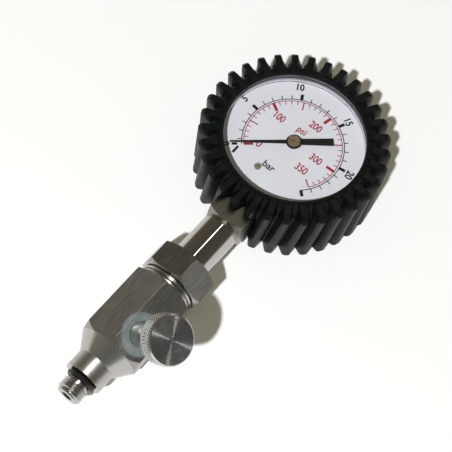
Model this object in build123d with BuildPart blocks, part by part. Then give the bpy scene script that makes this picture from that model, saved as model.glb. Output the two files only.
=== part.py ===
from build123d import *
from math import acos, asin, cos, degrees, pi, radians, sin, sqrt, tan
import os

os.makedirs("parts", exist_ok=True)

# Frame in millimetres: gauge axis along Z, twelve o'clock along +Y, the stem runs along -Y,
# and the back of the boot lies on z = 0.
stem_z = 14.2
fit_gap = 0.05
bearing_gap = 0.05
move_gap = 0.3
merge = 0.5
cut_past = 1.0
wall_cut = 2.0
bend = 1 - cos(radians(45))

# Rubber boot
fin_count = 33
fin_depth = 4.0
fin_shoulder_depth = 3.35
fin_inner_in = 0.7
fin_tip_half = 0.8
fin_shoulder_half = 1.4
fin_root_half = 2.65
fin_inner_half = 2.2
crest_tip_half = 0.7
crest_shoulder_half = 1.15
crest_root_half = 1.15
crest_inner_half = 1.5
fin_crest_height = 3.4
fin_twist = 5.53
fin_back_angle = 2.54
fin_back_chamfer = 0.8
fin_root_bury = 1.0
fin_lip_bury = 0.3
fin_trim_room = 0.5
shoulder_round = 3.5
boot_front_t = 1.95
boot_floor = 2.0
boot_lip_reach = 0.2
boot_lip_w = 1.2
boot_side_wall = 2.1
boot_corner_wall = 0.25
boot_lip_round = 0.5
boot_lip_drop = 0.5
crest_rise = 1.0
groove_lip_depth = 0.9
groove_edge_depth = 1.3
groove_root_depth = 3.9
boot_hole_room = 0.3
boot_hole_round = 0.5

# Case, window and dial
case_r = 27.6
case_wall = 0.8
case_round = 1.5
case_slot_room = 0.1
ledge_w = 0.8
dial_top = 21.3
dial_t = 0.6
dial_room = 0.3
dial_hole_r = 2.0
spacer_w = 0.7
spacer_room = 0.2
spacer_h = 2.7
gasket_t = 0.6
window_t = 1.5
window_room = 0.1
bezel_t = 0.5
bezel_wall = 0.7
bezel_low = 20.0
bezel_cover = 1.9
bezel_round = 0.4

# Pointer
pointer_rest = 221.0
pointer_rise = 1.4
pointer_t = 0.4
pointer_reach = 23.0
pointer_tip_half = 0.2
pointer_hub_half = 0.75
pointer_tail_half = 1.4
pointer_tail_hub_half = 1.05
pointer_tail_reach = 14.2
pointer_disc_r = 2.8
hub_r = 2.25
hub_rise = 0.6
hub_slot_w = 0.5
hub_slot_depth = 0.35
hub_slot_angle = 20.0
hub_collar_step = 0.4
hub_crown = 0.4

# Movement
plate_t = 1.0
rear_plate_low = 11.6
front_plate_low = 17.6
gear_module = 0.3
pinion_teeth = 8
sector_full_teeth = 72
sector_cut_teeth = 10
gear_pressure = 25.0
gear_addendum = 0.7
gear_dedendum = 0.95
gear_backlash = 0.08
flank_steps = 3
pinion_low = 14.2
pinion_high = 16.0
arbor_r = 0.8
pivot_r = 0.5
hub_shaft_r = 0.9
arbor_end_play = 0.15
sector_low = 14.6
sector_t = 1.0
sector_hub_r = 2.0
sector_rim_w = 1.3
sector_window_r = 3.4
sector_spoke = 1.1
rim_steps = 8
tail_reach = 5.0
tail_rest = -2.25
tail_half = 1.2
tail_pin_r = 0.5
tail_pin_play = 0.2
tail_pin_proud = 0.3
pillar_r = 1.3
pillar_spots = [(-6.0, 5.0), (8.0, -9.0), (-7.0, -7.0)]
plate_lobe = 2.3
screw_head_r = 1.25
screw_head_t = 0.7
screw_shank_r = 0.6
screw_slot_w = 0.35
screw_slot_depth = 0.3
screw_hole_room = 0.4
dial_screw_depth = 3.6
pillar_screw_depth = 2.2
pad_screw_x = 4.2
pad_screw_y = -11.4
pad_screw_depth = 3.0
spring_low = 12.9
spring_t = 0.5
spring_strip = 0.14
spring_inner_r = 1.75
spring_outer_r = 4.4
spring_turns = 4.5
spring_steps = 16
collet_r = 1.5
collet_proud = 0.1
stud_r = 0.45
stud_top = 13.8

# Bourdon tube and its end piece
tube_centre_r = 18.0
tube_height = 8.0
tube_width = 2.8
tube_wall = 0.45
tube_corner = 0.8
tube_mid_z = 10.5
tube_root = 262.0
tube_end = 36.0
tube_seat_arc = 40.0
tip_overlap = 2.0
tip_pocket = 2.9
tip_end_wall = 0.7
tip_wall = 0.7
tip_inner_room = 1.7
tip_outer_room = 0.3
lug_back = 5.6
lug_inset = 0.9
lug_half = 1.4
lug_low = 12.2
lug_t = 1.0
lug_foot = 0.5
link_low = 13.4
link_t = 0.8
link_half = 1.05
link_tail_half = 1.3
tip_pin_r = 0.5
tip_pin_head_r = 0.85
tip_pin_head_t = 0.3

# Socket
square_half = 7.0
square_room = 1.6
square_end = 39.5
square_bevel_start = 38.0
square_bevel_r = 9.9
socket_collar_end = 41.0
collar_r = 7.0
neck_r = 5.5
block_half = 6.5
block_low = 5.6
block_room = 1.8
block_front = 15.8
block_top = 17.5
pad_front = 9.6
dial_post_x = -3.9
dial_post_y = -15.7
dial_post_r = 1.7
shank_r = 4.85
shank_end = 51.0
socket_bore_r = 1.5
socket_bore_in = 19.0
passage_in = 0.4
passage_overlap = 0.1
passage_drop = 2.0

# Adaptor stem
seal_t = 1.0
seal_inner_r = 2.4
tube_end_s = 64.0
flange_r = 8.6
bore_r = 2.0
hex_flats = 22.2
nut_start = 58.2
nut_end = 68.6
nut_corner = 16.0
hex_chamfer_r = 10.9
hex_chamfer_long = 1.2
nut_room = 0.1
turning_room = 0.1
nut_shoulder_s = 62.0
seat_seal_t = 0.8
seat_seal_inner_r = 3.0
spigot_r = 8.75
body_hex_start = 71.4
body_hex_end = 99.8
body_corner = 6.0
neck_ring_r = 10.2
neck_ring_gap = 0.4
neck_ring_w = 0.9
neck_groove_r = 9.0
cone_r = 11.2
cone_end = 105.7
cone_end_r = 7.1
body_collar_end = 112.4
o_groove_r = 3.75
o_groove_end = 114.9
thread_r = 4.7625
thread_end = 120.2
thread_chamfer = 0.9
o_ring_section_r = 0.9
o_ring_sides = 10

# Bleed valve
bleed_s = 90.8
bonnet_r = 4.3
bonnet_in = 5.4
bonnet_out = 21.5
spindle_r = 2.2
spindle_out = 29.4
seat_r = 0.8
needle_r = 0.45
needle_end = 2.9
seat_cone = 1.6
seat_cone_end = 0.4
seat_room = 0.12
bonnet_chamfer = 0.5
knob_r = 8.75
knob_low = 25.1
knob_high = 31.6
knob_chamfer = 0.6
bleed_ring_at = 9.5
bleed_ring_section_r = 0.6

pinion_pitch_r = gear_module * pinion_teeth / 2
sector_pitch_r = gear_module * sector_full_teeth / 2
sector_x = pinion_pitch_r + sector_pitch_r
window_low = dial_top + spacer_h
case_rim = window_low - gasket_t
pointer_low = dial_top + pointer_rise
hub_low = dial_top + hub_rise
hub_top = window_low - move_gap
lip_under = window_low + window_t + bezel_t + fit_gap
boot_front = lip_under + boot_front_t
bezel_outer_r = case_r + fit_gap + bezel_wall
bezel_inner_r = case_r - bezel_cover
case_inner_r = case_r - case_wall
window_r = case_r - window_room
gasket_inner_r = case_inner_r - fit_gap
dial_r = case_inner_r - dial_room
spacer_outer_r = case_inner_r - spacer_room
spacer_inner_r = spacer_outer_r - spacer_w
boot_lip_r = bezel_inner_r - boot_lip_reach
groove_edge_r = bezel_outer_r + boot_corner_wall
fin_root_r = bezel_outer_r + boot_side_wall
fin_tip_r = fin_root_r + fin_depth
fin_shoulder_r = fin_root_r + fin_shoulder_depth
fin_inner_r = boot_lip_r + boot_lip_w - fin_inner_in
square_start = bezel_outer_r + square_room
block_back = case_inner_r - block_room
case_slot_r = neck_r + case_slot_room
boot_hole_half = square_half + boot_hole_room
flange_start = nut_shoulder_s + nut_room
neck_ring_start = nut_end + neck_ring_gap
hex_reach = hex_flats / sqrt(3)

stem_plane = Plane(origin=(0, 0, stem_z), x_dir=(0, -1, 0), z_dir=(-1, 0, 0))
stem_axis = Axis((0, 0, stem_z), (0, -1, 0))
bleed_lean = radians(body_corner + 30)
bleed_out = (sin(bleed_lean), 0, cos(bleed_lean))
bleed_origin = (0, -bleed_s, stem_z)
bleed_plane = Plane(origin=bleed_origin, x_dir=bleed_out, z_dir=(cos(bleed_lean), 0, -sin(bleed_lean)))
bleed_axis = Axis(bleed_origin, bleed_out)


def stem_section(distance):
    """Plane across the stem at this distance from the gauge axis."""
    return Plane(origin=(0, -distance, stem_z), x_dir=(1, 0, 0), z_dir=(0, -1, 0))


def hexagon_points(corner_lean):
    """Corners of the bar stock, the first one leaning from the top towards +X."""
    leans = [radians(corner_lean + 60 * k) for k in range(6)]
    return [(hex_reach * sin(lean), hex_reach * cos(lean)) for lean in leans]


def involute(angle):
    return tan(angle) - angle


def tooth_points(teeth, centre):
    """One gear tooth, from its lower flank over the tip to its upper flank."""
    pitch_r = gear_module * teeth / 2
    base_r = pitch_r * cos(radians(gear_pressure))
    tip_r = pitch_r + gear_addendum * gear_module
    root_r = pitch_r - gear_dedendum * gear_module
    half_pitch = pi / (2 * teeth) - gear_backlash / (4 * pitch_r)
    flank = []
    low_r = max(root_r, base_r)
    for step in range(flank_steps + 1):
        r = low_r + (tip_r - low_r) * step / flank_steps
        roll = acos(min(1.0, base_r / r))
        flank.append((r, half_pitch + involute(radians(gear_pressure)) - involute(roll)))
    if root_r < base_r:
        flank.insert(0, (root_r, flank[0][1]))
    rising = [(r, centre - half) for r, half in flank]
    falling = [(r, centre + half) for r, half in reversed(flank)]
    return rising + falling


def polar(r, angle, x=0.0, y=0.0):
    return (x + r * cos(angle), y + r * sin(angle))


# Rubber boot: one oblique fin, narrow at the front and trimmed by the shoulder, then repeated
def fin_outline(inner, root, shoulder, tip):
    """Half widths of a fin at its four radii, closed into an outline."""
    half = [(fin_inner_r, inner), (fin_root_r, root), (fin_shoulder_r, shoulder), (fin_tip_r, tip)]
    return half + [(x, -y) for x, y in reversed(half)]


flank_outline = fin_outline(fin_inner_half, fin_root_half, fin_shoulder_half, fin_tip_half)
crest_outline = fin_outline(crest_inner_half, crest_root_half, crest_shoulder_half, crest_tip_half)
fin_flare_z = boot_front - fin_crest_height
flare_twist = fin_twist * fin_flare_z / boot_front
lip_top = boot_front - boot_lip_drop
with BuildPart() as boot_fin:
    with BuildSketch(Plane.XY):
        Polygon(*flank_outline, align=None)
    with BuildSketch(Plane.XY.offset(fin_flare_z).rotated((0, 0, flare_twist))):
        Polygon(*flank_outline, align=None)
    with BuildSketch(Plane.XY.offset(boot_front).rotated((0, 0, fin_twist))):
        Polygon(*crest_outline, align=None)
    loft(ruled=True)
    trim_r = fin_tip_r + fin_trim_room
    bend_start = trim_r - shoulder_round
    bend_points = []
    for turn in (0, 30, 60):
        across, down = sin(radians(turn)), 1 - cos(radians(turn))
        bend_points.append((bend_start + shoulder_round * across, boot_front - shoulder_round * down))
    with BuildSketch(Plane.XZ):
        with BuildLine():
            Polyline(
                (trim_r, boot_front - shoulder_round),
                (trim_r, fin_back_chamfer + fin_trim_room),
                (fin_tip_r - fin_back_chamfer, 0),
                (fin_root_r - fin_root_bury, 0),
                (fin_root_r - fin_root_bury, boot_front - groove_root_depth),
                (groove_edge_r, lip_under + fin_lip_bury),
                (boot_lip_r + boot_lip_w - fin_lip_bury, lip_under + fin_lip_bury),
                (boot_lip_r + boot_lip_w - fin_lip_bury, lip_top),
                (boot_lip_r + boot_lip_w + crest_rise, boot_front),
                *bend_points,
                close=True,
            )
        make_face()
    revolve(axis=Axis.Z, mode=Mode.INTERSECT)

with BuildPart() as rubber_boot:
    with BuildSketch(Plane.XZ):
        with BuildLine():
            Polyline(
                (0, 0),
                (fin_root_r, 0),
                (fin_root_r, boot_front - groove_root_depth),
                (groove_edge_r, boot_front - groove_edge_depth),
                (boot_lip_r + boot_lip_w, boot_front - groove_lip_depth),
                (boot_lip_r + boot_lip_w, lip_top),
                (boot_lip_r + boot_lip_round, lip_top),
                (boot_lip_r + bend * boot_lip_round, lip_top - bend * boot_lip_round),
                (boot_lip_r, lip_top - boot_lip_round),
                (boot_lip_r, lip_under),
                (bezel_outer_r - bezel_round, lip_under),
                (bezel_outer_r + fit_gap, lip_under - bezel_round),
                (bezel_outer_r + fit_gap, bezel_low - fit_gap),
                (case_r + fit_gap, bezel_low - fit_gap),
                (case_r + fit_gap, boot_floor),
                (0, boot_floor),
                close=True,
            )
        make_face()
    revolve(axis=Axis.Z)
    with PolarLocations(0, fin_count, start_angle=fin_back_angle):
        add(boot_fin.part)
    with BuildSketch(Plane.XZ.offset(case_r - wall_cut)):
        with Locations((0, stem_z)):
            RectangleRounded(2 * boot_hole_half, 2 * boot_hole_half, boot_hole_round)
    extrude(amount=fin_tip_r, mode=Mode.SUBTRACT)
rubber_boot.part.label = "rubber_boot"
export_step(rubber_boot.part, "parts/rubber_boot.step")

# Drawn case with a ledge for the dial and a slot for the socket neck
case_low = boot_floor + fit_gap
ledge_top = dial_top - dial_t
with BuildPart() as case:
    with BuildSketch(Plane.XZ):
        with BuildLine():
            Polyline(
                (0, case_low),
                (case_r - case_round, case_low),
                (case_r - bend * case_round, case_low + bend * case_round),
                (case_r, case_low + case_round),
                (case_r, case_rim),
                (case_inner_r, case_rim),
                (case_inner_r, ledge_top),
                (case_inner_r - ledge_w, ledge_top),
                (case_inner_r - ledge_w, ledge_top - ledge_w),
                (case_inner_r, ledge_top - 2 * ledge_w),
                (case_inner_r, case_low + case_round),
                (case_r - case_round, case_low + case_wall),
                (0, case_low + case_wall),
                close=True,
            )
        make_face()
    revolve(axis=Axis.Z)
    with BuildSketch(Plane.XZ.offset(case_inner_r - wall_cut)):
        with Locations((0, stem_z)):
            Circle(case_slot_r)
        with Locations((0, stem_z + case_rim / 2)):
            Rectangle(2 * case_slot_r, case_rim)
    extrude(amount=case_wall + 2 * wall_cut, mode=Mode.SUBTRACT)
case.part.label = "case"
export_step(case.part, "parts/case.step")

with BuildPart() as bezel_ring:
    with BuildSketch(Plane.XZ):
        with BuildLine():
            Polyline(
                (bezel_inner_r, window_low + window_t),
                (bezel_inner_r, window_low + window_t + bezel_t),
                (bezel_outer_r - bezel_round, window_low + window_t + bezel_t),
                (bezel_outer_r, window_low + window_t + bezel_t - bezel_round),
                (bezel_outer_r, bezel_low),
                (case_r + fit_gap, bezel_low),
                (case_r + fit_gap, window_low + window_t),
                close=True,
            )
        make_face()
    revolve(axis=Axis.Z)
bezel_ring.part.label = "bezel_ring"
export_step(bezel_ring.part, "parts/bezel_ring.step")

with BuildPart() as window:
    with BuildSketch(Plane.XY.offset(window_low)):
        Circle(window_r)
    extrude(amount=window_t)
window.part.label = "window"
export_step(window.part, "parts/window.step")

with BuildPart() as window_gasket:
    with BuildSketch(Plane.XY.offset(case_rim)):
        Circle(window_r)
        Circle(gasket_inner_r, mode=Mode.SUBTRACT)
    extrude(amount=window_low - case_rim)
window_gasket.part.label = "window_gasket"
export_step(window_gasket.part, "parts/window_gasket.step")

with BuildPart() as dial_spacer_ring:
    with BuildSketch(Plane.XY.offset(dial_top)):
        Circle(spacer_outer_r)
        Circle(spacer_inner_r, mode=Mode.SUBTRACT)
    extrude(amount=window_low - dial_top)
dial_spacer_ring.part.label = "dial_spacer_ring"
export_step(dial_spacer_ring.part, "parts/dial_spacer_ring.step")

with BuildPart() as dial:
    with BuildSketch(Plane.XY.offset(dial_top - dial_t)):
        Circle(dial_r)
        Circle(dial_hole_r, mode=Mode.SUBTRACT)
        with Locations((dial_post_x, dial_post_y)):
            Circle(screw_shank_r + fit_gap, mode=Mode.SUBTRACT)
    extrude(amount=dial_t)
dial.part.label = "dial"
export_step(dial.part, "parts/dial.step")


def slotted_screw(x, y, seat, depth, slot_angle):
    """Cheese-head screw, its head resting on the seat height."""
    with BuildSketch(Plane.XY.offset(seat), mode=Mode.PRIVATE) as head:
        with Locations((x, y)):
            Circle(screw_head_r)
    extrude(head.sketch, amount=screw_head_t)
    with BuildSketch(Plane.XY.offset(seat), mode=Mode.PRIVATE) as shank:
        with Locations((x, y)):
            Circle(screw_shank_r)
    extrude(shank.sketch, amount=-depth)
    with BuildSketch(Plane.XY.offset(seat + screw_head_t), mode=Mode.PRIVATE) as slot:
        with Locations(Location((x, y, 0), (0, 0, slot_angle))):
            Rectangle(3 * screw_head_r, screw_slot_w)
    extrude(slot.sketch, amount=-screw_slot_depth, mode=Mode.SUBTRACT)


with BuildPart() as dial_screw:
    slotted_screw(dial_post_x, dial_post_y, dial_top, dial_screw_depth, 35)
dial_screw.part.label = "dial_screw"
export_step(dial_screw.part, "parts/dial_screw.step")

# Pointer, drawn along +X and turned to its rest angle
with BuildPart() as pointer:
    with BuildSketch(Plane.XY.offset(pointer_low).rotated((0, 0, pointer_rest))):
        with BuildLine():
            Polyline(
                (pointer_reach, pointer_tip_half),
                (0, pointer_hub_half),
                (0, pointer_tail_hub_half),
                (-pointer_tail_reach, pointer_tail_half),
                (-pointer_tail_reach, -pointer_tail_half),
                (0, -pointer_tail_hub_half),
                (0, -pointer_hub_half),
                (pointer_reach, -pointer_tip_half),
                close=True,
            )
        make_face()
        Circle(pointer_disc_r)
        Circle(hub_r, mode=Mode.SUBTRACT)
    extrude(amount=pointer_t)
pointer.part.label = "pointer"
export_step(pointer.part, "parts/pointer.step")

hub_bore_top = hub_top - hub_slot_depth - hub_crown
with BuildPart() as pointer_hub:
    with BuildSketch(Plane.XY.offset(pointer_low)):
        Circle(hub_r)
    extrude(amount=hub_top - pointer_low)
    with BuildSketch(Plane.XY.offset(hub_low)):
        Circle(pointer_disc_r - hub_collar_step)
    extrude(amount=pointer_low - hub_low)
    with BuildSketch(Plane.XY.offset(hub_low)):
        Circle(hub_shaft_r)
    extrude(amount=hub_bore_top - hub_low, mode=Mode.SUBTRACT)
    with BuildSketch(Plane.XY.offset(hub_top).rotated((0, 0, hub_slot_angle))):
        Rectangle(3 * hub_r, hub_slot_w)
    extrude(amount=-hub_slot_depth, mode=Mode.SUBTRACT)
pointer_hub.part.label = "pointer_hub"
export_step(pointer_hub.part, "parts/pointer_hub.step")

# Pinion and its arbor, one turning
rear_plate_top = rear_plate_low + plate_t
front_plate_top = front_plate_low + plate_t
with BuildPart() as pinion_arbor:
    with BuildSketch(Plane.XY.offset(rear_plate_low)):
        Circle(pivot_r)
    extrude(amount=rear_plate_top + arbor_end_play - rear_plate_low)
    with BuildSketch(Plane.XY.offset(rear_plate_top + arbor_end_play)):
        Circle(arbor_r)
    extrude(amount=front_plate_low - rear_plate_top - 2 * arbor_end_play)
    with BuildSketch(Plane.XY.offset(front_plate_low - arbor_end_play)):
        Circle(hub_shaft_r - fit_gap)
    extrude(amount=hub_bore_top - 2 * fit_gap - front_plate_low + arbor_end_play)
    with BuildSketch(Plane.XY.offset(pinion_low)):
        pinion_points = []
        for tooth in range(pinion_teeth):
            pinion_points += tooth_points(pinion_teeth, 2 * pi * tooth / pinion_teeth)
        Polygon(*[polar(r, angle) for r, angle in pinion_points], align=None)
    extrude(amount=pinion_high - pinion_low)
pinion_arbor.part.label = "pinion_arbor"
export_step(pinion_arbor.part, "parts/pinion_arbor.step")

# Sector: toothed rim, two spokes and a tail arm
sector_step = 2 * pi / sector_full_teeth
sector_root_r = sector_pitch_r - gear_dedendum * gear_module
first_tooth = pi + 1.5 * sector_step - (sector_cut_teeth - 1) * sector_step
rim_start = first_tooth - sector_step / 2
rim_end = first_tooth + (sector_cut_teeth - 0.5) * sector_step
with BuildPart() as sector_gear:
    with BuildSketch(Plane.XY.offset(sector_low)):
        rim_points = [(0.0, rim_start), (sector_root_r, rim_start)]
        for tooth in range(sector_cut_teeth):
            rim_points += tooth_points(sector_full_teeth, first_tooth + tooth * sector_step)
        rim_points += [(sector_root_r, rim_end)]
        Polygon(*[polar(r, angle, sector_x) for r, angle in rim_points], align=None)
        with BuildLine(mode=Mode.PRIVATE) as opening:
            open_start = rim_start + sector_spoke / sector_window_r / 2
            open_end = rim_end - sector_spoke / sector_window_r / 2
            far_start = rim_start + sector_spoke / sector_root_r
            far_end = rim_end - sector_spoke / sector_root_r
            far_r = sector_root_r - sector_rim_w
            corners = [polar(sector_window_r, open_start, sector_x)]
            far_step = (far_end - far_start) / rim_steps
            corners += [polar(far_r, far_start + far_step * k, sector_x) for k in range(rim_steps + 1)]
            corners += [polar(sector_window_r, open_end, sector_x)]
            Polyline(*corners, close=True)
        make_face(opening.edges(), mode=Mode.SUBTRACT)
        with Locations((sector_x, 0)):
            Circle(sector_hub_r)
        with BuildSketch(mode=Mode.PRIVATE) as tail:
            with Locations((sector_x, 0)):
                Circle(tail_half)
            with Locations(polar(tail_reach, radians(tail_rest), sector_x)):
                Circle(tail_half)
            make_hull()
        add(tail.sketch)
        with Locations((sector_x, 0)):
            Circle(arbor_r, mode=Mode.SUBTRACT)
        with Locations(polar(tail_reach, radians(tail_rest), sector_x)):
            Circle(tail_pin_r, mode=Mode.SUBTRACT)
    extrude(amount=sector_t)
sector_gear.part.label = "sector_gear"
export_step(sector_gear.part, "parts/sector_gear.step")

with BuildPart() as sector_arbor:
    with BuildSketch(Plane.XY.offset(rear_plate_low)):
        with Locations((sector_x, 0)):
            Circle(pivot_r)
    extrude(amount=front_plate_top - rear_plate_low)
    with BuildSketch(Plane.XY.offset(rear_plate_top + arbor_end_play)):
        with Locations((sector_x, 0)):
            Circle(arbor_r)
    extrude(amount=front_plate_low - rear_plate_top - 2 * arbor_end_play)
sector_arbor.part.label = "sector_arbor"
export_step(sector_arbor.part, "parts/sector_arbor.step")

tail_spot = polar(tail_reach, radians(tail_rest), sector_x)
with BuildPart() as sector_tail_pin:
    with BuildSketch(Plane.XY.offset(link_low - tail_pin_proud)):
        with Locations(tail_spot):
            Circle(tail_pin_r)
    extrude(amount=sector_low + sector_t - link_low + 2 * tail_pin_proud)
sector_tail_pin.part.label = "sector_tail_pin"
export_step(sector_tail_pin.part, "parts/sector_tail_pin.step")

# Movement plates, pillars and screws
pad_spots = [(pad_screw_x, pad_screw_y), (-pad_screw_x, pad_screw_y)]
with BuildPart() as movement_rear_plate:
    with BuildSketch(Plane.XY.offset(rear_plate_low)):
        with Locations((0, 0), (sector_x, 0), *pillar_spots, *pad_spots):
            Circle(plate_lobe)
        make_hull()
        with Locations((0, 0), (sector_x, 0)):
            Circle(pivot_r + bearing_gap, mode=Mode.SUBTRACT)
        with Locations(*pad_spots):
            Circle(screw_shank_r + fit_gap, mode=Mode.SUBTRACT)
    extrude(amount=plate_t)
movement_rear_plate.part.label = "movement_rear_plate"
export_step(movement_rear_plate.part, "parts/movement_rear_plate.step")

with BuildPart() as movement_front_plate:
    with BuildSketch(Plane.XY.offset(front_plate_low)):
        with Locations((0, 0), (sector_x, 0), *pillar_spots):
            Circle(plate_lobe)
        make_hull()
        with Locations((0, 0)):
            Circle(hub_shaft_r - fit_gap + bearing_gap, mode=Mode.SUBTRACT)
        with Locations((sector_x, 0)):
            Circle(pivot_r + bearing_gap, mode=Mode.SUBTRACT)
        with Locations(*pillar_spots):
            Circle(screw_shank_r + fit_gap, mode=Mode.SUBTRACT)
    extrude(amount=plate_t)
movement_front_plate.part.label = "movement_front_plate"
export_step(movement_front_plate.part, "parts/movement_front_plate.step")

with BuildPart() as movement_pillars:
    with BuildSketch(Plane.XY.offset(rear_plate_top)):
        with Locations(*pillar_spots):
            Circle(pillar_r)
    extrude(amount=front_plate_low - rear_plate_top)
    with BuildSketch(Plane.XY.offset(front_plate_low)):
        with Locations(*pillar_spots):
            Circle(screw_shank_r)
    extrude(amount=-(pillar_screw_depth + screw_hole_room), mode=Mode.SUBTRACT)
movement_pillars.part.label = "movement_pillars"
export_step(movement_pillars.part, "parts/movement_pillars.step")

with BuildPart() as movement_screws:
    for spot in pillar_spots:
        slotted_screw(spot[0], spot[1], front_plate_top, plate_t + pillar_screw_depth, 20 * spot[0])
movement_screws.part.label = "movement_screws"
export_step(movement_screws.part, "parts/movement_screws.step")

with BuildPart() as mounting_screws:
    slotted_screw(pad_screw_x, pad_screw_y, rear_plate_top, plate_t + pad_screw_depth, 15)
    slotted_screw(-pad_screw_x, pad_screw_y, rear_plate_top, plate_t + pad_screw_depth, -40)
mounting_screws.part.label = "mounting_screws"
export_step(mounting_screws.part, "parts/mounting_screws.step")

# Hairspring with its collet and stud
spring_points = []
spring_count = int(spring_turns * spring_steps)
for side in (1, -1):
    strip = []
    for step in range(spring_count + 1):
        share = step / spring_count
        r = spring_inner_r + (spring_outer_r - spring_inner_r) * share + side * spring_strip / 2
        strip.append(polar(r, 2 * pi * spring_turns * share))
    spring_points += strip if side > 0 else strip[::-1]
with BuildPart() as hairspring:
    with BuildSketch(Plane.XY.offset(spring_low)):
        Polygon(*spring_points, align=None)
    extrude(amount=spring_t)
hairspring.part.label = "hairspring"
export_step(hairspring.part, "parts/hairspring.step")

with BuildPart() as hairspring_collet:
    with BuildSketch(Plane.XY.offset(spring_low - collet_proud)):
        Circle(collet_r)
        Circle(arbor_r, mode=Mode.SUBTRACT)
    extrude(amount=spring_t + 2 * collet_proud)
hairspring_collet.part.label = "hairspring_collet"
export_step(hairspring_collet.part, "parts/hairspring_collet.step")

stud_spot = polar(spring_outer_r + spring_strip / 2 + stud_r, 2 * pi * spring_turns)
with BuildPart() as hairspring_stud:
    with BuildSketch(Plane.XY.offset(rear_plate_top)):
        with Locations(stud_spot):
            Circle(stud_r)
    extrude(amount=stud_top - rear_plate_top)
hairspring_stud.part.label = "hairspring_stud"
export_step(hairspring_stud.part, "parts/hairspring_stud.step")


# Bourdon tube: a flattened tube bent round the movement
root_plane = Plane(
    origin=(0, 0, 0),
    x_dir=(cos(radians(tube_root)), sin(radians(tube_root)), 0),
    z_dir=(sin(radians(tube_root)), -cos(radians(tube_root)), 0),
)


def flat_oval(width, height, corner):
    """Flattened tube section on the plane through the root, its corners taken off."""
    half_w, half_h = width / 2, height / 2
    quarter = [(half_w, half_h - corner), (half_w - corner, half_h)]
    upper = quarter + [(-x, y) for x, y in reversed(quarter)]
    outline = upper + [(x, -y) for x, y in reversed(upper)]
    return [(tube_centre_r + x, tube_mid_z + y) for x, y in outline]


inner_corner = tube_corner - (2 - sqrt(2)) * tube_wall
with BuildPart() as bourdon_tube:
    with BuildSketch(root_plane):
        Polygon(*flat_oval(tube_width, tube_height, tube_corner), align=None)
        Polygon(
            *flat_oval(tube_width - 2 * tube_wall, tube_height - 2 * tube_wall, inner_corner),
            align=None,
            mode=Mode.SUBTRACT,
        )
    revolve(axis=Axis.Z, revolution_arc=-(tube_root - tube_end))
bourdon_tube.part.label = "bourdon_tube"
export_step(bourdon_tube.part, "parts/bourdon_tube.step")

# End piece of the tube: a cap with a lug for the link, drawn along the tube's end
end_angle = radians(tube_end)
end_spot = polar(tube_centre_r, end_angle)
cap_plane = Plane(
    origin=(end_spot[0], end_spot[1], tube_mid_z),
    x_dir=(cos(end_angle), sin(end_angle), 0),
    z_dir=(0, 0, 1),
)
pocket_in = -tube_width / 2 - tip_inner_room
pocket_out = tube_width / 2 + tip_outer_room
cap_in = pocket_in - tip_wall
cap_out = pocket_out + tip_wall
cap_back = -tip_pocket - tip_end_wall
cap_half_height = tube_height / 2 + move_gap + tip_wall
lug_spot = (-lug_inset, -lug_back)
with BuildPart() as tube_tip:
    with BuildSketch(cap_plane.offset(-cap_half_height)):
        with Locations(((cap_in + cap_out) / 2, (cap_back + tip_overlap) / 2)):
            Rectangle(cap_out - cap_in, tip_overlap - cap_back)
    extrude(amount=2 * cap_half_height)
    with BuildSketch(cap_plane.offset(-cap_half_height + tip_wall)):
        with Locations(((pocket_in + pocket_out) / 2, (tip_overlap + cut_past - tip_pocket) / 2)):
            Rectangle(pocket_out - pocket_in, tip_overlap + cut_past + tip_pocket)
    extrude(amount=2 * (cap_half_height - tip_wall), mode=Mode.SUBTRACT)
    with BuildSketch(cap_plane.offset(lug_low - tube_mid_z)):
        with Locations(lug_spot):
            Circle(lug_half)
        with Locations((lug_spot[0], cap_back + fit_gap - lug_foot / 2)):
            Rectangle(2 * lug_half, lug_foot)
        make_hull()
        with Locations(lug_spot):
            Circle(tip_pin_r, mode=Mode.SUBTRACT)
    extrude(amount=lug_t)
tube_tip.part.label = "tube_tip"
export_step(tube_tip.part, "parts/tube_tip.step")

lug_world = cap_plane.from_local_coords(Vector(lug_spot[0], lug_spot[1], 0))
lug_point = (lug_world.X, lug_world.Y)
with BuildPart() as tip_pin:
    with BuildSketch(Plane.XY.offset(lug_low)):
        with Locations(lug_point):
            Circle(tip_pin_r)
    extrude(amount=link_low + link_t - lug_low)
    with BuildSketch(Plane.XY.offset(link_low + link_t)):
        with Locations(lug_point):
            Circle(tip_pin_head_r)
    extrude(amount=tip_pin_head_t)
tip_pin.part.label = "tip_pin"
export_step(tip_pin.part, "parts/tip_pin.step")

with BuildPart() as link:
    with BuildSketch(Plane.XY.offset(link_low)):
        with Locations(lug_point):
            Circle(link_half)
        with Locations(tail_spot):
            Circle(link_tail_half)
        make_hull()
        with Locations(lug_point):
            Circle(tip_pin_r, mode=Mode.SUBTRACT)
        with Locations(tail_spot):
            Circle(tail_pin_r + tail_pin_play, mode=Mode.SUBTRACT)
    extrude(amount=link_t)
link.part.label = "link"
export_step(link.part, "parts/link.step")

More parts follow.
